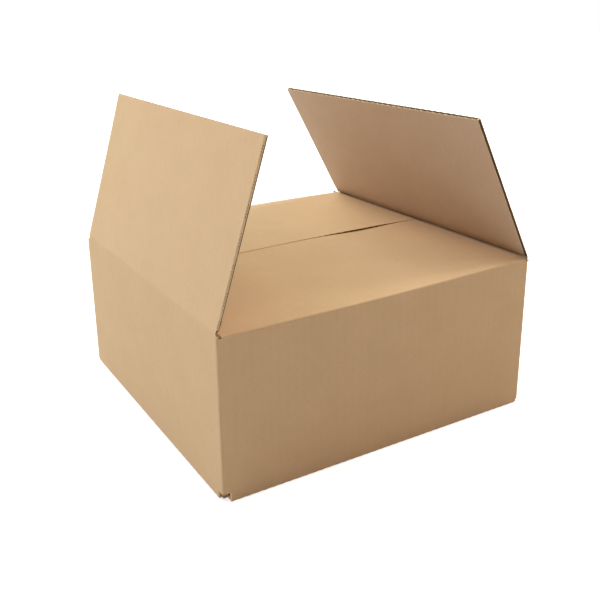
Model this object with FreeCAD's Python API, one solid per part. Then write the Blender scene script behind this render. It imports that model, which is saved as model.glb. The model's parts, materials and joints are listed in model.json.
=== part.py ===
import FreeCAD, Part

import math
import os

from FreeCAD import Vector

# A corrugated cardboard box, folded from one scored and slotted sheet, standing on its
# bottom. The front and rear top flaps are folded shut and meet in a seam, and the left
# and right top flaps stand up from their creases, leaning in over the shut ones.
# Origin: centre of the bottom face. X runs left to right, Y front to back, Z up.

# Outside sizes of the folded box, in millimetres
box_length = 264.0          # along X
box_width = 251.0           # along Y
closed_height = 119.7       # floor to the top of the shut flaps, at their creases

# The board: a fluted medium glued between two liners
board = 2.7
liner_thickness = 0.35
medium_thickness = 0.3
flute_pitch = 6.5
flute_tip = 0.8             # width of the glued line where medium and liner meet

# Cuts and folds
seam_gap = 2.0              # between the free edges of the two shut flaps
corner_inset = 5.0          # flap side edge to the box's outer corner, made by the slot
slot_overcut = 1.5          # slot's end past the crease
inner_fold_radius = 0.3     # inside a folded crease
crush_width = 4.0           # flattened board beside a crease, where flutes end
front_rise = 0.1            # front shut flap's free edge above its crease
rear_rise = 0.8             # rear shut flap's free edge above its crease
glue_tab_width = 32.0       # sheet's end tab, glued inside the rear wall
glue_tab_gap = 1.0          # tab's ends to the folded flaps above and below it
joint_gap = 1.0             # raw end of the rear wall to the box's right side

# The raised flaps
left_lean = 18.3            # degrees in from upright
right_lean = 27.9           # degrees in from upright
crease_gap = 0.35           # wall's edge and flap's edge to the crease line
hinge_offset = 0.15         # crease line outside the wall's outer face
mitre_angle = 45.0          # of both board ends that fold together at the crease
folded_clearance = 0.3      # under a raised flap once it is folded down on the shut ones

# What follows from those sizes
half_length = box_length / 2
half_width = box_width / 2
flap_length = (box_width - seam_gap) / 2
fold_radius = board + inner_fold_radius
highest_rise = max(front_rise, rear_rise)
hinge_height = closed_height + highest_rise + folded_clearance + board + hinge_offset
end_flap_width = box_width - 2 * corner_inset
long_flap_width = box_length - 2 * corner_inset
slot_bottom = closed_height - slot_overcut
slot_top = 2 * board + slot_overcut / 2
mitre = board * math.tan(math.radians(mitre_angle))
cut_margin = 1.0            # how far cutting tools reach past what they cut


def turned_left(v):
    """The 2D direction v, turned a quarter turn to the left."""
    return (-v[1], v[0])


def direction(p, q):
    """Unit vector from p to q."""
    length = math.dist(p, q)
    return ((q[0] - p[0]) / length, (q[1] - p[1]) / length)


def moved(p, v, distance):
    """The point p moved along v by distance."""
    return (p[0] + v[0] * distance, p[1] + v[1] * distance)


def inner_corners(corners):
    """The corners of the same path, one board thickness to its left."""
    ways = [direction(p, q) for p, q in zip(corners, corners[1:])]
    inner = [moved(corners[0], turned_left(ways[0]), board)]
    for corner, way_in, way_out in zip(corners[1:], ways, ways[1:]):
        turn = math.acos(way_in[0] * way_out[0] + way_in[1] * way_out[1])
        back = board * math.tan(turn / 2)
        inner.append(moved(moved(corner, turned_left(way_in), board), way_in, -back))
    inner.append(moved(corners[-1], turned_left(ways[-1]), board))
    return inner


def rounded_path(corners, radius, place):
    """Edges of an open path through the corners, each rounded to the radius."""
    edges = []
    start = corners[0]
    for before, corner, after in zip(corners, corners[1:], corners[2:]):
        way_in = direction(before, corner)
        way_out = direction(corner, after)
        turn = math.acos(way_in[0] * way_out[0] + way_in[1] * way_out[1])
        reach = radius * math.tan(turn / 2)
        first = moved(corner, way_in, -reach)
        last = moved(corner, way_out, reach)
        centre = moved(first, turned_left(way_in), radius)
        middle = moved(centre, direction(centre, corner), radius)
        edges.append(Part.LineSegment(place(start), place(first)).toShape())
        edges.append(Part.Arc(place(first), place(middle), place(last)).toShape())
        start = last
    edges.append(Part.LineSegment(place(start), place(corners[-1])).toShape())
    return edges


def folded_sheet(corners, place, sweep, mitred=False):
    """Board bent along a path of left-hand folds, given by its outer corners.

    place turns a 2D point of the path into a 3D one, and sweep is the sheet's width.
    With mitred, the board's first end slopes back from its outer face.
    """
    inner = inner_corners(corners)
    if mitred:
        inner[0] = moved(inner[0], direction(inner[0], inner[1]), mitre)
    outer_edges = rounded_path(corners, fold_radius, place)
    inner_edges = rounded_path(inner, inner_fold_radius, place)
    ends = [
        Part.LineSegment(place(corners[0]), place(inner[0])).toShape(),
        Part.LineSegment(place(corners[-1]), place(inner[-1])).toShape(),
    ]
    outline = Part.Wire(Part.__sortEdges__(outer_edges + inner_edges + ends))
    return Part.Face(outline).extrude(sweep)


def flute_channels(edge_centre, across, inward, through, width, depth):
    """The air between liners and medium, as prisms that run in from a flap's free edge.

    edge_centre lies on one face of the board, in the middle of the free edge. The
    medium is a wave with straight flanks, so each channel's section is a trapezium.
    """
    height = board - 2 * liner_thickness
    reach = flute_pitch / 2 - flute_tip
    root = math.sqrt(reach**2 + height**2 - medium_thickness**2)
    slope = (reach * height - medium_thickness * root) / (height**2 - medium_thickness**2)
    half_wide = (flute_pitch - flute_tip) / 2
    half_narrow = half_wide - slope * (height - medium_thickness)
    low_face = liner_thickness
    high_face = board - liner_thickness
    wide_levels = (low_face, high_face)
    narrow_levels = (high_face - medium_thickness, low_face + medium_thickness)
    half_pitches = int((width - flute_pitch) / (flute_pitch / 2))
    first = -half_pitches * flute_pitch / 4
    start = edge_centre - inward * cut_margin
    prisms = []
    for step in range(half_pitches + 1):
        middle = first + step * flute_pitch / 2
        wide = wide_levels[step % 2]
        narrow = narrow_levels[step % 2]
        section = [
            (middle - half_wide, wide),
            (middle + half_wide, wide),
            (middle + half_narrow, narrow),
            (middle - half_narrow, narrow),
        ]
        points = [start + across * u + through * w for u, w in section]
        face = Part.Face(Part.makePolygon(points + points[:1]))
        prisms.append(face.extrude(inward * (depth + cut_margin)))
    return Part.makeCompound(prisms)


def walls():
    """The four walls and the corner that turns into the glue tab."""
    def place(p):
        return Vector(p[0], p[1], slot_top)

    height = Vector(0, 0, slot_bottom - slot_top)
    joint_y = half_width - board
    around = folded_sheet(
        [
            (half_length - joint_gap, half_width),
            (-half_length, half_width),
            (-half_length, -half_width),
            (half_length, -half_width),
            (half_length, 0),
        ],
        place,
        height,
    )
    stub = half_length - fold_radius - joint_gap
    corner = folded_sheet(
        [(half_length, 0), (half_length, joint_y), (stub, joint_y)], place, height
    )
    return around.fuse(corner)


def glue_tab():
    """The end of the sheet, glued flat inside the rear wall."""
    low = slot_top + glue_tab_gap
    high = closed_height - board - glue_tab_gap
    left = half_length - board - glue_tab_width
    right = half_length - fold_radius
    back = half_width - board
    return Part.makeBox(right - left, board, high - low, Vector(left, back - board, low))


def long_side(rise):
    """Front wall between its slots, with its bottom flap and its shut top flap."""
    free_end = flap_length - half_width
    corners = [
        (free_end, closed_height + rise),
        (-half_width, closed_height),
        (-half_width, 0),
        (free_end, 0),
    ]
    sheet = folded_sheet(
        corners,
        lambda p: Vector(-long_flap_width / 2, p[0], p[1]),
        Vector(long_flap_width, 0, 0),
    )
    across = Vector(1, 0, 0)
    slope = direction(corners[0], corners[1])
    top_inward = Vector(0, *slope)
    top_through = Vector(0, *turned_left(slope))
    bottom_inward = Vector(0, -1, 0)
    bottom_through = Vector(0, 0, 1)
    width = long_flap_width
    depth = flap_length - fold_radius - crush_width
    top_edge = Vector(0, *corners[0])
    bottom_edge = Vector(0, *corners[-1])
    return sheet.cut([
        flute_channels(top_edge, across, top_inward, top_through, width, depth),
        flute_channels(bottom_edge, across, bottom_inward, bottom_through, width, depth),
    ])


def end_side():
    """Left wall between its slots, up to its crease, with its bottom flap."""
    corners = [
        (-half_length, hinge_height - crease_gap),
        (-half_length, board),
        (flap_length - half_length, board),
    ]
    return folded_sheet(
        corners,
        lambda p: Vector(p[0], end_flap_width / 2, p[1]),
        Vector(0, -end_flap_width, 0),
        mitred=True,
    )


def carton():
    """Everything of the sheet that stays still: walls, bottom and shut top flaps."""
    def turned_round(shape):
        return shape.rotated(Vector(0, 0, 0), Vector(0, 0, 1), 180)

    pieces = [
        walls(),
        glue_tab(),
        long_side(front_rise),
        turned_round(long_side(rear_rise)),
        end_side(),
        turned_round(end_side()),
    ]
    return pieces[0].fuse(pieces[1:]).removeSplitter()


def raised_flap(lean):
    """The left flap, leaning in by this many degrees from upright."""
    outer = -half_length
    inner = outer + board
    foot = hinge_height + crease_gap
    top = hinge_height + flap_length
    outline = [(outer, foot), (inner, foot + mitre), (inner, top), (outer, top)]
    points = [Vector(x, -end_flap_width / 2, z) for x, z in outline]
    face = Part.Face(Part.makePolygon(points + points[:1]))
    plate = face.extrude(Vector(0, end_flap_width, 0))
    depth = flap_length - crease_gap - mitre - crush_width
    plate = plate.cut(
        flute_channels(
            Vector(outer, 0, top),
            Vector(0, 1, 0),
            Vector(0, 0, -1),
            Vector(1, 0, 0),
            end_flap_width,
            depth,
        )
    )
    crease = Vector(outer - hinge_offset, 0, hinge_height)
    return plate.rotated(crease, Vector(0, 1, 0), lean)


def main():
    parts = {
        "carton": carton(),
        "left_flap": raised_flap(left_lean),
        "right_flap": raised_flap(right_lean).rotated(
            Vector(0, 0, 0), Vector(0, 0, 1), 180
        ),
    }
    os.makedirs("parts", exist_ok=True)
    for name, shape in parts.items():
        shape.exportStep(f"parts/{name}.step")


main()
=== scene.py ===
import json
import math

import bmesh
import bpy
import numpy as np
from mathutils import Matrix, Vector


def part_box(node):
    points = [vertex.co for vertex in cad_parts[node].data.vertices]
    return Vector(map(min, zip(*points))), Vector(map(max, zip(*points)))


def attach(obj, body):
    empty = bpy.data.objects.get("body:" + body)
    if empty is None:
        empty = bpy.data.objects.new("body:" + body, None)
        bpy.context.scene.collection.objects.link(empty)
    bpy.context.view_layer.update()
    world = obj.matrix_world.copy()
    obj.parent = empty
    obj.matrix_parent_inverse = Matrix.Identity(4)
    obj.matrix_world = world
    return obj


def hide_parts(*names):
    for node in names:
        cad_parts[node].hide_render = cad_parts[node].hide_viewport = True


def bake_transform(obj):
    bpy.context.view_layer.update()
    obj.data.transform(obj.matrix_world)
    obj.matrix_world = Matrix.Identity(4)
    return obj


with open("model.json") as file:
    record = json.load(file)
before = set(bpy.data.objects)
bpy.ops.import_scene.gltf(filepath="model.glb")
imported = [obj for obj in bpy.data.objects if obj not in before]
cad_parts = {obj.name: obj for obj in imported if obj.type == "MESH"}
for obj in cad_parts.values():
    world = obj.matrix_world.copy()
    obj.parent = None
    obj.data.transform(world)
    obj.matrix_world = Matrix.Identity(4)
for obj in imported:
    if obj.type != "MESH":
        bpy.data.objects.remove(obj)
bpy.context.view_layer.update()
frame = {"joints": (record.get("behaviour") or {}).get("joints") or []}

# Sizes read from the frame, in metres
_, carton_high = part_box("carton")
half_length = carton_high.x
half_width = carton_high.y
hinges = {joint["name"]: Vector(joint["pos_m"]) for joint in frame["joints"]}
hinge_height = hinges["left_crease"].z

# The board and its cuts
board = 0.0027
liner = 0.00035
medium = 0.0003
flute_pitch = 0.0065
seam_gap = 0.0004
slot_overcut = 0.0015       # top slots' ends below the shut flaps' creases
slot_top = 0.003            # bottom slots' ends above the floor
notch_top = 0.0075          # and the end of the one at the front left corner
hinge_rise = 0.00395        # the hinges above the shut flaps' creases
glue_tab_width = 0.032
glue_tab_gap = 0.0002
joint_gap = 0.001           # rear wall's raw end to the box's right side

# What follows from those sizes
length = 2 * half_length
width = 2 * half_width
closed_height = hinge_height - hinge_rise
flap_length = (width - seam_gap) / 2
slot_bottom = closed_height - slot_overcut

# How the real sheet departs from flat panels and even cuts
corner_inset = 0.0042               # shut flaps' sides to the box's outer corners
notch_inset = 0.0065                # bottom flaps' sides to the front left corner
tight_inset = 0.0021                # front bottom flap's side to the front right corner
raised_front_inset = 0.001          # raised flaps' sides to the box's outer corners
raised_rear_inset = 0.006
raised_rise = 0.0026                # raised flaps' creases above the shut flaps' creases
inner_rise = 0.0012                 # inner bottom flaps' creases above the outer ones'
climb_reach = 0.0042                # inner bottom flaps climb onto the outer ones in this
left_length = 0.1242                # raised flaps, from crease to free edge
right_length = 0.124
left_lean = math.radians(17.5)
right_lean = math.radians(27.8)
left_twist = math.radians(0.3)      # front end leans in this much more than the middle
right_twist = math.radians(-0.6)
fold_radius = 0.0014                # of the box's vertical corners

# Heights above closed_height, as factors of 1, u and u cubed. u is 0 at the box's left
# side and 1 at its right side.
front_fold_height = (-0.0004, -0.0024, 0.0052)
rear_fold_height = (0.0032, 0.0043, -0.0039)
seam_height = (0.0024, 0.0046, -0.0044)
rear_over_front = 0.00025           # rear shut flap's free edge above the front one's
front_dip = 0.0012                  # front one's free edge sags, most where u is dip_middle
dip_middle = 0.76
dip_reach = 0.12

# What folding and handling do to the board
corner_lift = 0.0018                # front right corner's slot end, above the other slots'
corner_reach = 0.0022
wall_bulge = 0.0006
crease_zone = 0.003                 # bent board at a fold, measured along the sheet
crease_crush = 0.56                 # share of the thickness lost at a crease
raised_crush = 0.74                 # and at a raised flap's, which is pressed flat
crush_reach = 0.0015
scallop = 0.0001                    # ripple that the flutes leave along a crease
scallop_reach = 0.002
ear_size = 0.0052                   # torn liner at the front right slot sticks out
ear_height = 0.0015
ear_width = 0.0018

# The mesh's grid
column = flute_pitch / 4
fine_step = flute_pitch / 16
flap_step = 0.009
crease_step = 0.0005
foot_step = 0.0011
table_step = 0.00005
fine_reach = 0.0025                 # rows this far below the top slots are close together
same = 1e-6                         # lines closer than this are one
point_digits = 7                    # decimals in which the corners of faces are compared
glued = 1e-7                        # fluting this close to a liner touches it
channel_depth = 0.012
crushed_side = 0.0012               # flutes squeezed shut beside a side cut
flute_tip_gain = 1.25               # above 1, the fluting's tips are flat where glued
serration_pitch = 0.002
hole_reach = 0.0016                 # half the hole in a raised flap's side at its crease

# Rows of a side cut, as depths in the board from its outer face. Pits and grooves slope
# out to the rows beside theirs.
pit_levels = (0.0008, 0.0011)
groove_levels = (0.00195, 0.0021)
cut_levels = (liner, 0.00065, *pit_levels, 0.00125, 0.0018, *groove_levels, board - liner)
pit_depth = 0.0012
groove_depth = 0.0015
shallow = 0.0001                    # a cut face deeper than this takes the fluting's dark finish, painted shade
tooth_from = 0.4                    # pits are where a wave along the cut is above this
waver_share = 0.25                  # how much the groove's depth varies along the cut
waver_lengths = (0.0031, 0.0073)
cut_step = 0.0005
step_slack = 0.01                   # share of a step by which rows may be further apart
fewest_steps = 3                    # between two rows of the grid
slow_drift = (0.35, 0.041)          # of the flutes along an edge: radians and length
fast_drift = (0.2, 0.017)

# Finishes, as numbers of the material slots. The cut's is lightened with painted light and the
# fluting's darkened with painted shade.
OUTER, INNER, CUT, SHADED_FLUTING = range(4)


def pairs(values):
    """Each value with the next one."""
    return list(zip(values, values[1:]))


def smooth(x):
    """0 below 0, 1 above 1, and an S-shaped rise between."""
    x = np.clip(x, 0, 1)
    return x * x * (3 - 2 * x)


def bell(x):
    """1 at 0, and falling off to both sides."""
    return np.exp(-(x**2))


def cubic(factors, u):
    """A height that varies along the box, from factors of 1, u and u cubed."""
    return factors[0] + factors[1] * u + factors[2] * u**3


# The walls as one strip. s runs along it, with 0 at the front left corner and the front
# wall at s above 0. The glue tab is the strip's end, past the right wall.
strip_corners = np.array([
    (half_length - joint_gap, half_width),
    (-half_length, half_width),
    (-half_length, -half_width),
    (half_length, -half_width),
    (half_length, half_width - board - glue_tab_gap),
    (half_length - glue_tab_width, half_width - board - glue_tab_gap),
])
strip_steps = np.diff(strip_corners, axis=0)
strip_lengths = np.linalg.norm(strip_steps, axis=1)
strip_ways = strip_steps / strip_lengths[:, None]
strip_marks = np.concatenate([[0], np.cumsum(strip_lengths)]) - sum(strip_lengths[:2])
REAR, LEFT, FRONT, RIGHT, TAB = range(5)

# Where each wall starts and ends along the strip, once its missing ends are counted in
wall_limits = {wall: list(strip_marks[wall:wall + 2]) for wall in (REAR, LEFT, FRONT, RIGHT)}
wall_limits[REAR][0] -= joint_gap
wall_limits[RIGHT][1] += board + glue_tab_gap


def strip_place(s, rounded):
    """Points on the walls' outer face, the way out of the box there, and the wall."""
    wall = np.clip(np.searchsorted(strip_marks, s, side="right") - 1, REAR, TAB)
    way = strip_ways[wall]
    place = strip_corners[wall] + way * (s - strip_marks[wall])[:, None]
    out = np.stack([way[:, 1], -way[:, 0]], axis=1)
    corners = range(LEFT, TAB + 1) if rounded else ()
    for number in corners:
        turn = (s - strip_marks[number]) / fold_radius
        near = np.abs(turn) < 1
        angle = (turn[near, None] + 1) * math.pi / 4
        way_in = strip_ways[number - 1]
        out_in = np.array([way_in[1], -way_in[0]])
        centre = strip_corners[number] - (way_in + out_in) * fold_radius
        out[near] = out_in * np.cos(angle) + way_in * np.sin(angle)
        place[near] = centre + out[near] * fold_radius
    return place, out, wall


def mean_cosine(turn):
    """How far a crease's zone goes on in its first direction, as a share of the zone."""
    return float(np.mean(np.cos(turn * smooth(np.linspace(0, 1, 2001)))))


square = math.pi / 2
crease_shift = crease_zone * (mean_cosine(square) - 0.5)
top_crease = closed_height - crease_shift
raised_crease = closed_height + raised_rise
bottom_crease = crease_shift
inner_crease = bottom_crease + inner_rise
free_end = flap_length - crease_shift       # crease to free edge, along the sheet


def fold_table(creases):
    """Side view of a sheet folded at creases, each (t, turn): t, inward, up and angle.

    The sheet stands upright at the middle of the wall. A crease above it turns what lies
    above, and one below it turns what lies below.
    """
    middle = closed_height / 2
    t = np.arange(-2 * flap_length, 3 * flap_length, table_step)
    angle = np.zeros_like(t)
    for where, turn in creases:
        share = smooth((t - where) / crease_zone + 0.5)
        angle += turn * share if where > middle else turn * (share - 1)
    inward = np.cumsum(np.sin(angle)) * table_step
    up = np.cumsum(np.cos(angle)) * table_step
    inward -= np.interp(middle, t, inward)
    up += middle - np.interp(middle, t, up)
    return t, inward, up, angle


climb = math.asin((board - inner_rise) / climb_reach)
inner_flap = [(inner_crease - climb_reach, -climb), (inner_crease, square + climb)]
long_table = fold_table([(bottom_crease, square), (top_crease, square)])
left_table = fold_table([*inner_flap, (raised_crease, left_lean)])
right_table = fold_table([*inner_flap, (raised_crease, right_lean)])
tables = {FRONT: long_table, REAR: long_table, LEFT: left_table, RIGHT: right_table}
upper_creases = {
    FRONT: top_crease, REAR: top_crease, LEFT: raised_crease, RIGHT: raised_crease,
}
lower_creases = {
    FRONT: bottom_crease, REAR: bottom_crease, LEFT: inner_crease, RIGHT: inner_crease,
}


def seam_rise(wall, t, u):
    """How far the shut flaps rise or fall to the seam, where the rear one lies higher."""
    dip = front_dip * bell((u - dip_middle) / dip_reach)
    rise = cubic(seam_height, u) + np.where(wall == REAR, rear_over_front, -dip)
    shut = (wall == FRONT) | (wall == REAR)
    return shut * rise * np.clip((t - top_crease) / free_end, 0, 1)


def twist(wall, t, y, inward, up):
    """Twists the raised flaps about their creases, in place."""
    for number, most in ((LEFT, left_twist), (RIGHT, right_twist)):
        here = wall == number
        more = -most * y[here] / half_width
        more = more * smooth((t[here] - raised_crease) / crease_zone + 0.5)
        a = inward[here]
        b = up[here] - raised_crease
        inward[here] = a * np.cos(more) + b * np.sin(more)
        up[here] = raised_crease + b * np.cos(more) - a * np.sin(more)


def torn_ear(s, t):
    """How far the torn ear beside the front right slot sticks out."""
    beside = bell((s - strip_marks[RIGHT] - fold_radius) / ear_width)
    below = np.clip(1 - (slot_bottom - t) / ear_height, 0, 1) ** 2
    return ear_size * beside * below * (t <= slot_bottom)


def fold(points, rounded):
    """Folds the flat board: (s, t, n) to (x, y, z). n is the depth in from outside.

    rounded is for what has the box's vertical corners in it.
    """
    s, t, n = points.T
    place, out, wall = strip_place(s, rounded)
    inward = np.zeros_like(s)
    up = t.copy()
    angle = np.zeros_like(s)
    crush = np.ones_like(s)         # share of the thickness that is left
    proud = np.zeros_like(s)        # how far the board stands out from a flat panel
    u = place[:, 0] / length + 0.5
    fold_height = {FRONT: cubic(front_fold_height, u), REAR: cubic(rear_fold_height, u)}
    for number, table in tables.items():
        here = wall == number
        start, end = wall_limits[number]
        edge = np.minimum(s[here] - start, end - s[here])

        # Folds fade out towards the box's vertical corners, and what an uneven fold lifts
        # comes back to its place at a flap's free edge
        share = smooth(edge / tight_inset) if rounded else 1
        lift = fold_height[number][here] if number in fold_height else 0
        beyond = np.clip((t[here] - top_crease) / free_end, 0, 1)
        lift = lift * smooth(t[here] / closed_height) * (1 - beyond) ** 2
        t_here = t[here] - lift
        inward[here] = share * np.interp(t_here, table[0], table[1])
        up[here] += share * (np.interp(t_here, table[0], table[2]) + lift - t[here])
        angle[here] = share * np.interp(t_here, table[0], table[3])

        # The board is crushed and rippled along its creases, and the walls bulge
        for crease in (upper_creases[number], lower_creases[number]):
            loss = raised_crush if crease == raised_crease else crease_crush
            crush[here] -= loss * share * bell((t_here - crease) / crush_reach)
            ripple = bell((t_here - crease) / scallop_reach)
            wave = np.cos(2 * math.pi * s[here] / flute_pitch)
            proud[here] += scallop * share * ripple * wave
        across = 4 * (s[here] - start) * (end - s[here]) / (end - start) ** 2
        height = np.clip(t_here / closed_height, 0, 1)
        proud[here] += wall_bulge * across * 4 * height * (1 - height)
    if rounded:
        for mark in strip_marks[LEFT:TAB + 1]:
            crush -= crease_crush * bell((s - mark) / crush_reach)
    crush = np.maximum(crush, 1 - raised_crush)
    depth = n * crush - proud
    inward += depth * np.cos(angle)
    up += seam_rise(wall, t, u) - depth * np.sin(angle)
    twist(wall, t, place[:, 1], inward, up)
    inward -= torn_ear(s, t)
    if rounded:
        near = bell((s - strip_marks[RIGHT]) / corner_reach)
        up += corner_lift * near * smooth(t / closed_height)
    xy = place - out * inward[:, None]
    return np.column_stack([xy, up])


class Sheet:
    """Collects the faces of board that is cut flat in (s, t, n), then folded."""

    def __init__(self, name, rounded=False):
        self.name = name
        self.rounded = rounded
        self.points = {}
        self.faces = []
        self.finishes = []
        self.smooth = []
        self.coordinates = []

    def point(self, corner):
        """The number of a corner, which faces that meet there share."""
        key = tuple(round(float(value), point_digits) for value in corner)
        return self.points.setdefault(key, len(self.points))

    def face(self, corners, finish, rounded=False, flat=None):
        """A face through (s, t, n) corners. flat gives its texture coordinates."""
        numbers = [self.point(corner) for corner in corners]
        flat = flat or [corner[:2] for corner in corners]
        kept = [i for i, number in enumerate(numbers) if number != numbers[i - 1]]
        if len(kept) < 3:
            return
        self.faces.append([numbers[i] for i in kept])
        self.finishes.append(finish)
        self.smooth.append(rounded)
        self.coordinates.extend(flat[i] for i in kept)

    def panel(self, s_lines, t_lines):
        """Both faces of the board over a grid."""
        for s0, s1 in pairs(s_lines):
            for t0, t1 in pairs(t_lines):
                around = [(s0, t0), (s1, t0), (s1, t1), (s0, t1)]
                self.face([(s, t, 0) for s, t in around], OUTER, True)
                self.face([(s, t, board) for s, t in reversed(around)], INNER, True)

    def plain_edge(self, line, fluted_start=False):
        """Closes the board along a line of (s, t) points."""
        for a, b in pairs(line):
            corners = [(*a, 0), (*b, 0), (*b, board), (*a, board)]
            if fluted_start and a == line[0]:
                corners += [(*a, board - liner), (*a, liner)]
            flat = [(sum(p[:2]), p[2]) for p in corners]
            self.face(corners, CUT, False, flat)

    def fluted_edge(self, s_lines, t_edge, inward, phase):
        """A free edge across the flutes: liners, fluting and the channels between."""
        steps = round(column / fine_step)
        fine = [a + (b - a) * k / steps for a, b in pairs(s_lines) for k in range(steps)]
        fine = np.array(fine + [s_lines[-1]])
        slow = slow_drift[0] * np.sin(fine / slow_drift[1] + phase)
        wander = slow + fast_drift[0] * np.sin(fine / fast_drift[1])
        turn = 2 * math.pi * fine / flute_pitch + phase + wander
        swing = (board - 2 * liner - medium) / 2
        middle = board / 2 + swing * np.clip(flute_tip_gain * np.cos(turn), -1, 1)
        low = middle - medium / 2
        high = middle + medium / 2
        shut = np.minimum(fine - fine[0], fine[-1] - fine) < crushed_side
        low[shut] = liner
        high[shut] = board - liner
        back = t_edge + inward * channel_depth
        for number, (a, b) in enumerate(pairs(s_lines)):
            inner = list(fine[number * steps:(number + 1) * steps + 1])
            for face, near in ((0, liner), (board, board - liner)):
                corners = [(a, t_edge, face), (b, t_edge, face)]
                corners += [(s, t_edge, near) for s in reversed(inner)]
                self.face(corners, CUT, False, [(c[0], c[2]) for c in corners])
        for (s0, s1), (a0, a1), (b0, b1) in zip(pairs(fine), pairs(low), pairs(high)):
            corners = [(s0, t_edge, a0), (s1, t_edge, a1), (s1, t_edge, b1), (s0, t_edge, b0)]
            self.face(corners, CUT, False, [(c[0], c[2]) for c in corners])
            # The channels' walls and backs take the fluting's finish: painted shade deep in the
            # flutes
            for near, far0, far1 in ((liner, a0, a1), (board - liner, b0, b1)):
                if max(abs(far0 - near), abs(far1 - near)) < glued:
                    continue
                for n0, n1 in ((near, near), (far0, far1)):
                    corners = [(s0, t_edge, n0), (s1, t_edge, n1)]
                    corners += [(s1, back, n1), (s0, back, n0)]
                    self.face(corners, SHADED_FLUTING, True)
                corners = [(s0, back, near), (s1, back, near), (s1, back, far1), (s0, back, far0)]
                self.face(corners, SHADED_FLUTING)

    def serrated_edge(
        self, s_edge, inward, t_lines, fluted_end=True, open_flute=False, hole_at=-1.0
    ):
        """A side edge along the flutes: the knife's tooth marks and an open flute.

        With open_flute, the cut runs along a flute and leaves it open all the way. A hole
        is where the board gapes at a raised flap's crease. Without hole_at there is none.
        """
        rows = []
        for a, b in pairs(t_lines):
            count = max(fewest_steps, math.ceil((b - a) / cut_step - step_slack))
            rows.append([a + (b - a) * k / count for k in range(count + 1)])
        plain_rows = (rows[0][1], rows[-1][-2])

        def cut(t, n):
            if t in plain_rows:
                return s_edge
            waves = math.sin(t / waver_lengths[0]) * math.sin(t / waver_lengths[1])
            groove_here = groove_depth * (1 - waver_share + waver_share * waves)
            if abs(t - hole_at) < hole_reach and n in cut_levels[2:-1]:
                return s_edge + inward * groove_depth
            if open_flute:
                return s_edge + inward * (groove_here if n in cut_levels[1:-1] else 0.0)
            tooth = math.cos(2 * math.pi * t / serration_pitch) > tooth_from
            pit = pit_depth if tooth and n in pit_levels else 0.0
            groove = groove_here if n in groove_levels else 0.0
            return s_edge + inward * (pit + groove)

        for row in rows:
            first, last = row is rows[0], row is rows[-1]
            whole = [t for t in row if not (first and t == row[0])]
            if last and not fluted_end:
                whole = whole[:-1]
            for face, near in ((0, liner), (board, board - liner)):
                corners = [(s_edge, row[0], face), (s_edge, row[-1], face)]
                corners += [(s_edge, t, near) for t in reversed(whole)]
                self.face(corners, CUT, False, [(c[1], c[2]) for c in corners])
            for t0, t1 in pairs(row):
                if t0 == rows[0][0]:
                    self.cut_end(s_edge, t0, t1, False)
                elif t1 == rows[-1][-1]:
                    self.cut_end(s_edge, t1, t0, fluted_end)
                else:
                    for n0, n1 in pairs(cut_levels):
                        around = [(t0, n0), (t1, n0), (t1, n1), (t0, n1)]
                        corners = [(cut(t, n), t, n) for t, n in around]
                        depths = [abs(c[0] - s_edge) for c in corners]
                        # Faces deep in the cut get the fluting's finish: painted shade in the
                        # pits and grooves
                        deep = max(min(depths[:2]), min(depths[2:])) > shallow
                        self.face(corners, SHADED_FLUTING if deep else CUT, False, around)

    def cut_end(self, s_edge, t_end, t_next, fluted):
        """The last bit of a serrated edge, which meets an edge with fewer points."""
        corners = [(s_edge, t_next, n) for n in cut_levels]
        ends = (board - liner, liner) if fluted else (board, 0)
        corners += [(s_edge, t_end, n) for n in ends]
        self.face(corners, CUT, False, [(c[1], c[2]) for c in corners])

    def build(self, materials):
        """The folded mesh as an object."""
        mesh = bpy.data.meshes.new(self.name)
        places = fold(np.array(list(self.points)), self.rounded)
        mesh.from_pydata(places.tolist(), [], self.faces)
        mesh.polygons.foreach_set("material_index", self.finishes)
        mesh.polygons.foreach_set("use_smooth", self.smooth)
        layer = mesh.uv_layers.new(name="board")
        layer.data.foreach_set("uv", np.array(self.coordinates, np.float32).ravel())
        for material in materials:
            mesh.materials.append(material)
        work = bmesh.new()
        work.from_mesh(mesh)
        bmesh.ops.recalc_face_normals(work, faces=work.faces)
        for edge in work.edges:
            edge.smooth = all(face.smooth for face in edge.link_faces)
        work.to_mesh(mesh)
        work.free()
        piece = bpy.data.objects.new(self.name, mesh)
        bpy.context.scene.collection.objects.link(piece)
        return piece


def spread(start, end, step):
    """Evenly spaced values from start to end, about a step apart."""
    count = max(1, round((end - start) / step))
    return [start + (end - start) * k / count for k in range(count + 1)]


def joined(*runs):
    """Runs of values, each starting where the one before ends, as one list."""
    values = list(runs[0])
    for run in runs[1:]:
        values += run[1:]
    return values


# Grid lines along the strip
top_spans = {
    wall: (start + corner_inset, end - corner_inset)
    for wall, (start, end) in wall_limits.items()
}
bottom_spans = dict(top_spans)
bottom_spans[LEFT] = (top_spans[LEFT][0], wall_limits[LEFT][1] - notch_inset)
bottom_spans[FRONT] = (wall_limits[FRONT][0] + notch_inset, wall_limits[FRONT][1] - tight_inset)
tab_high = strip_marks[TAB] + fold_radius
strip_start = strip_marks[REAR]


def strip_grid():
    """Lines along the strip: flap ends, corner arcs and evenly spaced ones between."""
    fixed = {strip_start, tab_high}
    for low, high in (*top_spans.values(), *bottom_spans.values()):
        fixed |= {low, high}
    for mark in strip_marks[LEFT:TAB + 1]:
        fixed |= set(spread(mark - fold_radius, mark + fold_radius, fold_radius / 3))
    fixed = sorted(fixed)
    kept = [fixed[0]]
    for s in fixed[1:]:
        if s - kept[-1] > same:
            kept.append(s)
    return joined(*(spread(a, b, column) for a, b in pairs(kept)))


strip_lines = strip_grid()
tab_lines = spread(tab_high, strip_marks[TAB + 1], flap_step)


def between(low, high):
    """The strip's lines from low to high."""
    return [s for s in strip_lines if low - same < s < high + same]


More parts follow.
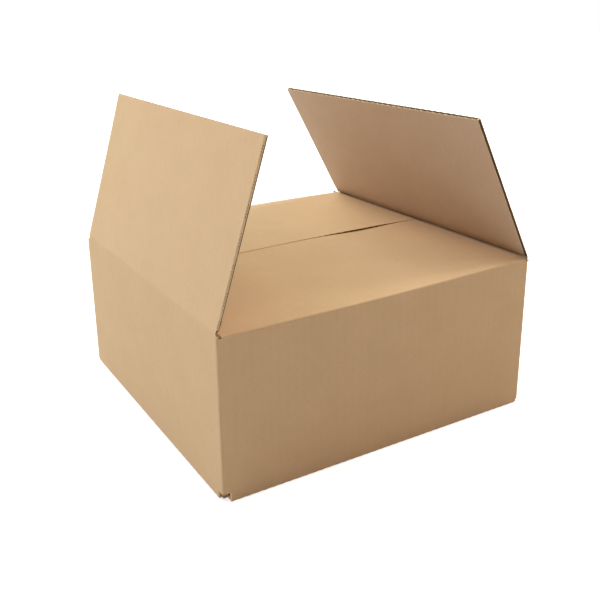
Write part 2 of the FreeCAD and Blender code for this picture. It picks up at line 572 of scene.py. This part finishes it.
# Grid lines up the sheet
fine_from = slot_bottom - fine_reach
bend_end = top_crease + crease_zone / 2
low_lines = spread(slot_top, notch_top, foot_step)
high_lines = joined(
    spread(notch_top, fine_from, flap_step),
    spread(fine_from, slot_bottom, crease_step),
)
top_end = top_crease + free_end
top_lines = joined(
    spread(slot_bottom, bend_end, crease_step),
    spread(bend_end, top_end, flap_step),
)


def bottom_lines(crease):
    """From a bottom flap's free edge up to the slots' ends."""
    bend_low = crease - crease_zone / 2
    return joined(
        spread(crease - free_end, bend_low, 2 * flap_step),
        spread(bend_low, slot_top, crease_step),
    )


def raised_lines(flap_reach):
    """From the slots' ends up to a raised flap's free edge."""
    bend_high = raised_crease + crease_zone / 2
    return joined(
        spread(slot_bottom, bend_high, crease_step),
        spread(bend_high, raised_crease + flap_reach, flap_step),
    )


def along(s_lines, t):
    """The points of a row."""
    return [(s, t) for s in s_lines]


def upward(s, t_lines):
    """The points of a column."""
    return [(s, t) for t in t_lines]


def carton_sheet():
    """The walls, the glue tab, the bottom flaps and the two shut top flaps."""
    sheet = Sheet("folded_carton", rounded=True)
    notch_low, notch_high = bottom_spans[LEFT][1], bottom_spans[FRONT][0]
    notch = between(notch_low, notch_high)
    sheet.panel(strip_lines, high_lines)
    sheet.panel(between(strip_start, notch_low), low_lines)
    sheet.panel(between(notch_high, tab_high), low_lines)
    sheet.plain_edge(along(notch, notch_top))
    sheet.plain_edge(upward(notch_low, low_lines))
    sheet.plain_edge(upward(notch_high, low_lines))
    sheet.serrated_edge(strip_start, 1, joined(low_lines, high_lines), fluted_end=False)

    tab_t = high_lines[:round((fine_from - notch_top) / flap_step)]
    sheet.panel(tab_lines, tab_t)
    sheet.plain_edge(upward(tab_lines[-1], tab_t))
    for t in (tab_t[0], tab_t[-1]):
        sheet.plain_edge(along(tab_lines, t))
    for lines in (low_lines, high_lines[len(tab_t) - 1:]):
        sheet.plain_edge(upward(tab_high, lines))

    gaps = {}
    for t, spans in ((slot_bottom, top_spans), (slot_top, bottom_spans)):
        ends = [strip_start, *(s for wall in spans for s in spans[wall]), tab_high]
        gaps[t] = list(zip(ends[::2], ends[1::2]))
    gaps[slot_top].remove((notch_low, notch_high))
    for t, runs in gaps.items():
        for low, high in runs:
            sheet.plain_edge(along(between(low, high), t))

    for wall in (LEFT, RIGHT):
        sheet.plain_edge(along(between(*top_spans[wall]), slot_bottom))
    for wall, (low, high) in bottom_spans.items():
        lines = bottom_lines(lower_creases[wall])
        across = between(low, high)
        sheet.panel(across, lines)
        outer = wall in (FRONT, REAR)
        if outer:
            sheet.fluted_edge(across, lines[0], 1, wall)
        else:
            sheet.plain_edge(along(across, lines[0]))
        for s in (low, high):
            sheet.plain_edge(upward(s, lines), fluted_start=outer)
    for wall in (FRONT, REAR):
        low, high = top_spans[wall]
        sheet.panel(between(low, high), top_lines)
        sheet.fluted_edge(between(low, high), top_end, -1, wall + 0.5)
        for s, inward in ((low, 1), (high, -1)):
            sheet.serrated_edge(s, inward, top_lines)
    return sheet


def flap_sheet(name, wall):
    """A raised flap, with the strip of wall below its crease."""
    start, end = wall_limits[wall]
    if wall == LEFT:
        s_lines = spread(start + raised_rear_inset, end - raised_front_inset, column)
        t_lines = raised_lines(left_length)
    else:
        s_lines = spread(start + raised_front_inset, end - raised_rear_inset, column)
        t_lines = raised_lines(right_length)
    sheet = Sheet(name)
    sheet.panel(s_lines, t_lines)
    sheet.plain_edge(along(s_lines, slot_bottom))
    sheet.fluted_edge(s_lines, t_lines[-1], -1, wall)
    for s, inward in ((s_lines[0], 1), (s_lines[-1], -1)):
        sheet.serrated_edge(
            s, inward, t_lines, open_flute=wall == RIGHT, hole_at=raised_crease
        )
    return sheet


class Graph:
    """Adds nodes to a material and links them."""

    def __init__(self, material):
        material.use_nodes = True
        self.tree = material.node_tree
        self.tree.nodes.clear()

    def add(self, kind, settings=None, **inputs):
        """A node. An input is a number, a colour or another node's output."""
        node = self.tree.nodes.new("ShaderNode" + kind)
        for name, value in (settings or {}).items():
            setattr(node, name, value)
        for name, value in inputs.items():
            name = name.replace("_", " ")
            socket = node.inputs[int(name[1:])] if name[1:].isdigit() else node.inputs[name]
            if isinstance(value, bpy.types.NodeSocket):
                self.tree.links.new(value, socket)
            else:
                socket.default_value = value
        return node

    def math(self, operation, *values):
        """The output of a math node."""
        inputs = {f"i{number}": value for number, value in enumerate(values)}
        return self.add("Math", {"operation": operation}, **inputs).outputs[0]

    def seen(self):
        """1 for what the camera sees, also in a mirror or through glass, and 0 otherwise."""
        path = self.add("LightPath").outputs
        direct = self.math("MAXIMUM", path["Is Camera Ray"], path["Is Glossy Ray"])
        return self.math("MAXIMUM", direct, path["Is Transmission Ray"])


# How much each layer of the paper's pattern changes its shade
cloud_weight = 0.22
blotch_weight = 0.14
crossed_share = 0.7         # of the grain's weight, for the fibres that lie across
speck_strength = 0.55

# And how much of it is relief
bump_strength = 0.5
bump_height = 0.00015
fibre_relief = 0.5
fine_relief = 0.3
flute_relief = 6            # times the washboard's weight


def board_material(name, dark, middle, light, grain, washboard, specks, roughness):
    """Kraft paper: clouds, fibres along the machine direction, flute lines and specks.

    dark, middle and light are its colours. grain is the weight of the fibres and
    washboard that of the flute lines.
    """
    material = bpy.data.materials.new(name)
    graph = Graph(material)
    flat = graph.add("UVMap", {"uv_map": "board"}).outputs["UV"]

    def noise(scale, stretch=(1, 1, 1), turn=0.0, detail=3.0):
        """A layer of noise over the flat sheet, with this many waves in a metre."""
        placed = graph.add(
            "Mapping", None, Vector=flat, Scale=stretch, Rotation=(0, 0, turn)
        ).outputs[0]
        return graph.add("TexNoise", None, Vector=placed, Scale=scale, Detail=detail).outputs[0]

    clouds = noise(32)
    blotches = noise(140)
    fibres = noise(300, (1, 7, 1), 0.03)
    crossed = noise(420, (5, 1, 1), 0.5)
    fine = noise(2400, detail=2.0)
    across = graph.add("SeparateXYZ", None, Vector=flat).outputs[0]
    flute = graph.math("SINE", graph.math("MULTIPLY", across, 2 * math.pi / flute_pitch))

    shade = graph.math("ADD", graph.math("MULTIPLY", flute, washboard), 0.5)
    layers = (
        (clouds, cloud_weight),
        (blotches, blotch_weight),
        (fibres, grain),
        (crossed, grain * crossed_share),
        (fine, grain),
    )
    for layer, weight in layers:
        part = graph.math("MULTIPLY", graph.math("SUBTRACT", layer, 0.5), weight)
        shade = graph.math("ADD", shade, part)

    ramp = graph.add("ValToRGB", None, Fac=shade)
    stops = ramp.color_ramp.elements
    stops[0].position, stops[0].color = 0.0, (*dark, 1)
    stops[1].position, stops[1].color = 1.0, (*light, 1)
    stops.new(0.5).color = (*middle, 1)
    colour = ramp.outputs[0]

    for scale, rarity, size, tone in specks:
        cells = graph.add("TexVoronoi", None, Vector=flat, Scale=scale)
        pick = graph.add("SeparateColor", None, Color=cells.outputs["Color"]).outputs[0]
        chosen = graph.math("GREATER_THAN", pick, rarity)
        close = graph.math("LESS_THAN", cells.outputs["Distance"], size)
        mask = graph.math("MULTIPLY", graph.math("MULTIPLY", chosen, close), speck_strength)
        mixed = graph.add("Mix", {"data_type": "RGBA"}, i0=mask, i6=colour, i7=(*tone, 1))
        colour = mixed.outputs[2]

    height = graph.math("MULTIPLY", flute, washboard * flute_relief)
    for layer, weight in ((fibres, fibre_relief), (fine, fine_relief)):
        height = graph.math("ADD", height, graph.math("MULTIPLY", layer, weight))
    bump = graph.add("Bump", None, Strength=bump_strength, Distance=bump_height, Height=height)
    shader = graph.add(
        "BsdfPrincipled", None, Base_Color=colour, Roughness=roughness, Normal=bump.outputs[0]
    )
    shader.inputs["Specular IOR Level"].default_value = 0.0
    output = graph.add("OutputMaterial", None, Surface=shader.outputs[0])
    output.is_active_output = True
    return material


# Specks: cells per metre, share of cells without one, size in a cell, and colour
dark_speck = (0.16, 0.085, 0.04)
light_speck = (0.80, 0.66, 0.48)
kraft_specks = [
    (150, 0.93, 0.06, dark_speck),
    (120, 0.95, 0.05, light_speck),
    (420, 0.9, 0.12, dark_speck),
]
materials = [
    board_material(
        "kraft_outer", (0.507, 0.331, 0.186), (0.631, 0.426, 0.25), (0.753, 0.533, 0.334),
        grain=0.25, washboard=0.012, specks=kraft_specks, roughness=0.78,
    ),
    board_material(
        "kraft_inner", (0.43, 0.292, 0.194), (0.53, 0.377, 0.258), (0.64, 0.47, 0.336),
        grain=0.25, washboard=0.02, specks=kraft_specks, roughness=0.8,
    ),
    # Cut edges: lighter than the paper of the faces, painted light that makes up for the little
    # light reaching them
    board_material(
        "board_cut_painted_light", (0.68, 0.47, 0.275), (0.81, 0.575, 0.355), (0.89, 0.69, 0.47),
        grain=0.6, washboard=0.0, specks=[], roughness=0.9,
    ),
    # Fluting: far darker than its paper, painted shade in the flute channels and in the pits and
    # grooves of side cuts
    board_material(
        "board_fluting_painted_shade", (0.13, 0.075, 0.035), (0.21, 0.125, 0.065), (0.30, 0.19, 0.11),
        grain=0.4, washboard=0.0, specks=[], roughness=0.9,
    ),
]

carton = carton_sheet().build(materials)
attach(carton, "carton")
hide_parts("carton")

# Each raised flap, with the strip of wall below its crease
for name, wall in (("left", LEFT), ("right", RIGHT)):
    flap = flap_sheet(f"folded_{name}_flap", wall).build(materials)
    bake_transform(flap)
    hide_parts(f"{name}_flap")


# The floor
floor_colour = (0.82, 0.82, 0.82, 1)
floor_lift = 0.62           # glow that the camera sees near the box
white_from = 0.5            # metres from the box's middle: the glow grows from here
white_to = 1.3              # and is full from here
dark_inset = 0.0035         # left and right walls' outer faces to where the glow stops
floor_half = 3.0


def paper_white():
    """Pale floor that the camera sees as white, except in the box's shadow and under it."""
    material = bpy.data.materials.new("floor_paper")
    graph = Graph(material)
    shader = graph.add("BsdfDiffuse", None, Color=floor_colour).outputs[0]
    place = graph.add("NewGeometry").outputs["Position"]
    away = graph.add("VectorMath", {"operation": "LENGTH"}, i0=place).outputs["Value"]
    lift = graph.add(
        "MapRange", None, Value=away, From_Min=white_from, From_Max=white_to,
        To_Min=floor_lift, To_Max=1.0,
    ).outputs[0]
    x, y = graph.add("SeparateXYZ", None, Vector=place).outputs[:2]
    under_x = graph.math("LESS_THAN", graph.math("ABSOLUTE", x), half_length - dark_inset)
    under_y = graph.math("LESS_THAN", graph.math("ABSOLUTE", y), half_width - notch_inset)
    open_air = graph.math("SUBTRACT", 1.0, graph.math("MULTIPLY", under_x, under_y))
    lift = graph.math("MULTIPLY", graph.math("MULTIPLY", graph.seen(), lift), open_air)
    glow = graph.add("Emission", None, Color=(1, 1, 1, 1), Strength=lift).outputs[0]
    both = graph.add("AddShader", None, i0=shader, i1=glow).outputs[0]
    graph.add("OutputMaterial", None, Surface=both)
    return material


floor_corners = [
    (x * floor_half, y * floor_half, 0) for x, y in ((-1, -1), (1, -1), (1, 1), (-1, 1))
]
floor_mesh = bpy.data.meshes.new("floor")
floor_mesh.from_pydata(floor_corners, [], [(0, 1, 2, 3)])
floor_mesh.materials.append(paper_white())
floor = bpy.data.objects.new("floor", floor_mesh)
bpy.context.scene.collection.objects.link(floor)


# Soft lights around the box: degrees from +X, degrees above the floor, watts and colour
light_target = Vector((0, 0, 0.11))
light_distance = 1.8
light_size = 1.1
soft_boxes = {
    "left_low": (174, 18, 7.9, (0.85, 0.92, 1)),
    "left_front": (240, 50, 5.6, (1, 0.78, 0.58)),
    "right_front": (332, 40, 10.0, (1, 0.92, 0.83)),
    "right": (0, 30, 27.9, (0.98, 0.98, 1)),
    "rear": (90, 40, 27.7, (0.88, 1, 0.96)),
    "left_rear_low": (135, 30, 11.2, (0.74, 0.86, 1)),
    "left_rear_high": (150, 60, 10.3, (0.99, 0.99, 0.96)),
}


def soft_box(name, azimuth, elevation, power, colour):
    """A square area light aimed at the middle of the box."""
    around, up = math.radians(azimuth), math.radians(elevation)
    way = Vector((math.cos(around) * math.cos(up), math.sin(around) * math.cos(up), math.sin(up)))
    data = bpy.data.lights.new(name, "AREA")
    data.shape = "SQUARE"
    data.size = light_size
    data.energy = power
    data.color = colour
    light = bpy.data.objects.new(name, data)
    turn = (-way).to_track_quat("-Z", "Y").to_matrix().to_4x4()
    light.matrix_world = Matrix.Translation(light_target + way * light_distance) @ turn
    bpy.context.scene.collection.objects.link(light)


for name, settings in soft_boxes.items():
    soft_box(name, *settings)

# The backdrop is white to the camera and gives no light
world = bpy.data.worlds.new("studio")
bpy.context.scene.world = world
graph = Graph(world)
backdrop = graph.add("Background", None, Color=(1, 1, 1, 1), Strength=graph.seen())
graph.add("OutputWorld", None, Surface=backdrop.outputs[0])

# The camera, from a fit to the photograph's corners
image_side = 600.0
focal_pixels = 800.0
principal_x = 234.8
principal_y = 242.0
camera_place = Vector((-0.3252, -0.5288, 0.3237))
camera_turn = math.radians(-27.33)      # to the left of +Y, so this is to its right
camera_drop = math.radians(17.72)       # below level
camera_roll = math.radians(-2.01)

forward = Vector((
    -math.sin(camera_turn) * math.cos(camera_drop),
    math.cos(camera_turn) * math.cos(camera_drop),
    -math.sin(camera_drop),
))
level = Vector((math.cos(camera_turn), math.sin(camera_turn), 0))
upright = level.cross(forward)
right = level * math.cos(camera_roll) + upright * math.sin(camera_roll)
above = upright * math.cos(camera_roll) - level * math.sin(camera_roll)
camera_data = bpy.data.cameras.new("camera")
camera_data.sensor_width = 36
camera_data.lens = focal_pixels / image_side * camera_data.sensor_width
camera_data.shift_x = (image_side / 2 - principal_x) / image_side
camera_data.shift_y = (principal_y - image_side / 2) / image_side
camera_data.clip_start = 0.01
camera_data.clip_end = 20
camera = bpy.data.objects.new("camera", camera_data)
axes = Matrix((right, above, -forward)).transposed().to_4x4()
camera.matrix_world = Matrix.Translation(camera_place) @ axes
bpy.context.scene.collection.objects.link(camera)
bpy.context.scene.camera = camera

bpy.context.scene.view_settings.view_transform = "Standard"
